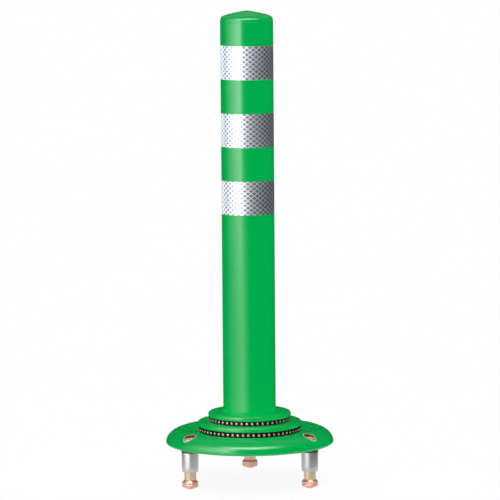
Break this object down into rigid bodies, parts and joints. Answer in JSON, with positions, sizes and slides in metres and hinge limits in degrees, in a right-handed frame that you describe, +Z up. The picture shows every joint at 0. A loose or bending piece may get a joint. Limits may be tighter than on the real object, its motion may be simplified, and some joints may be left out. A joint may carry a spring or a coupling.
{
  "type": "delineator post",
  "caption": "Bendable lane delineator post with reflective bands on a round base, with stacked bead-ringed discs and bolt-down expansion anchors.",
  "frame": {"origin": "centre of the base's underside, which lies on the road surface", "axes": "+Z up along the post; -Y to the front, so one anchor is at the rear (+Y) and two are at the front left and right"},
  "size_m": [0.252, 0.252, 0.7083],
  "materials": {
    "green_urethane": "semi-gloss moulded polyurethane",
    "reflective_sheet": "silver-white prismatic reflective sheet",
    "bead_strip": "black strip set with clear glass beads",
    "black_rubber": "matt rubber sheet",
    "core_steel": "mill-finish steel",
    "zinc_steel": "bright zinc plate",
    "tan_plate": "yellow passivated",
    "copper_plate": "reddish gold passivated"
  },
  "bodies": {
    "base": {"base_disc": "green_urethane", "core_plate": "core_steel", "bottom_pad": "black_rubber", "lower_bead_ring": "bead_strip", "collar_disc": "green_urethane", "upper_bead_ring": "bead_strip", "foot_flange": "green_urethane", "clamp_ring": "core_steel", "foot_screw_1": "zinc_steel", "foot_screw_2": "zinc_steel", "foot_screw_3": "zinc_steel", "foot_screw_4": "zinc_steel", "anchor_bush_right": "zinc_steel", "anchor_sleeve_right": "zinc_steel", "expansion_clip_right": "tan_plate", "anchor_bush_rear": "zinc_steel", "anchor_sleeve_rear": "zinc_steel", "expansion_clip_rear": "tan_plate", "anchor_bush_left": "zinc_steel", "anchor_sleeve_left": "zinc_steel", "expansion_clip_left": "tan_plate"},
    "root_flex": {"flexible_root": "green_urethane"},
    "post": {"post_tube": "green_urethane", "top_cap": "green_urethane", "reflective_band_1": "reflective_sheet", "reflective_band_2": "reflective_sheet", "reflective_band_3": "reflective_sheet"},
    "bolt_right": {"anchor_bolt_right": "zinc_steel"},
    "bolt_rear": {"anchor_bolt_rear": "zinc_steel"},
    "bolt_left": {"anchor_bolt_left": "zinc_steel"},
    "nut_right": {"cone_nut_right": "copper_plate"},
    "nut_rear": {"cone_nut_rear": "copper_plate"},
    "nut_left": {"cone_nut_left": "copper_plate"}
  },
  "joints": [
    {"name": "post_lean_front_back", "type": "hinge", "parent": "base", "child": "root_flex", "pos_m": [0, 0, 0.092], "axis": [1, 0, 0], "range_deg": [-85, 85], "stiffness_Nm_per_rad": 60, "deforming": ["flexible_root"]},
    {"name": "post_lean_left_right", "type": "hinge", "parent": "root_flex", "child": "post", "pos_m": [0, 0, 0.092], "axis": [0, 1, 0], "range_deg": [-85, 85], "stiffness_Nm_per_rad": 60, "deforming": ["flexible_root"]},
    {"name": "bolt_turn_right", "type": "hinge", "parent": "base", "child": "bolt_right", "pos_m": [0.08897, -0.06704, 0], "axis": [0, 0, -1], "range_deg": [0, 720]},
    {"name": "nut_climb_right", "type": "slide", "parent": "base", "child": "nut_right", "axis": [0, 0, 1], "range_m": [0, 0.004], "deforming": ["expansion_clip_right"]},
    {"name": "bolt_turn_rear", "type": "hinge", "parent": "base", "child": "bolt_rear", "pos_m": [0, 0.1114, 0], "axis": [0, 0, -1], "range_deg": [0, 720]},
    {"name": "nut_climb_rear", "type": "slide", "parent": "base", "child": "nut_rear", "axis": [0, 0, 1], "range_m": [0, 0.004], "deforming": ["expansion_clip_rear"]},
    {"name": "bolt_turn_left", "type": "hinge", "parent": "base", "child": "bolt_left", "pos_m": [-0.08897, -0.06704, 0], "axis": [0, 0, -1], "range_deg": [0, 720]},
    {"name": "nut_climb_left", "type": "slide", "parent": "base", "child": "nut_left", "axis": [0, 0, 1], "range_m": [0, 0.004], "deforming": ["expansion_clip_left"]}
  ],
  "couplings": [
    {"joint": "bolt_turn_right", "follows": "nut_climb_right", "rad_per_m": 3141.5},
    {"joint": "bolt_turn_rear", "follows": "nut_climb_rear", "rad_per_m": 3141.5},
    {"joint": "bolt_turn_left", "follows": "nut_climb_left", "rad_per_m": 3141.5}
  ]
}
